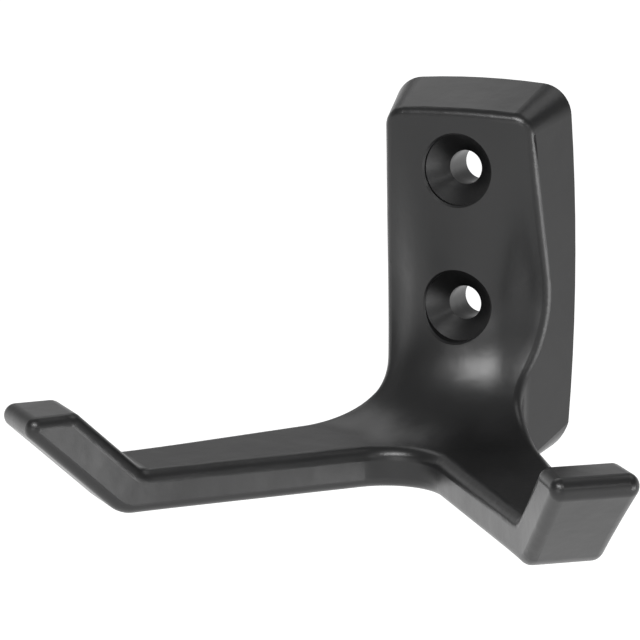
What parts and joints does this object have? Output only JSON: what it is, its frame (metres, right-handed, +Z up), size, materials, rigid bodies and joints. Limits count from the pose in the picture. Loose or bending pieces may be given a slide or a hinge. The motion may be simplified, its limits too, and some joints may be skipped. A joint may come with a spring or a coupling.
{
  "type": "double robe hook",
  "caption": "Wall-mounted double robe hook: an upright tapered plate with countersunk screw holes, flowing into arms that spread in a V and end in upturned tips.",
  "frame": {"origin": "on the wall plane, midway between the two screw holes", "axes": "+X to the right seen from the room, +Y into the wall, +Z up"},
  "size_m": [0.0832, 0.0594, 0.0502],
  "materials": {
    "casting": "satin black coating on a zinc die casting"
  },
  "bodies": {
    "root": {"double_hook": "casting"}
  },
  "joints": []
}
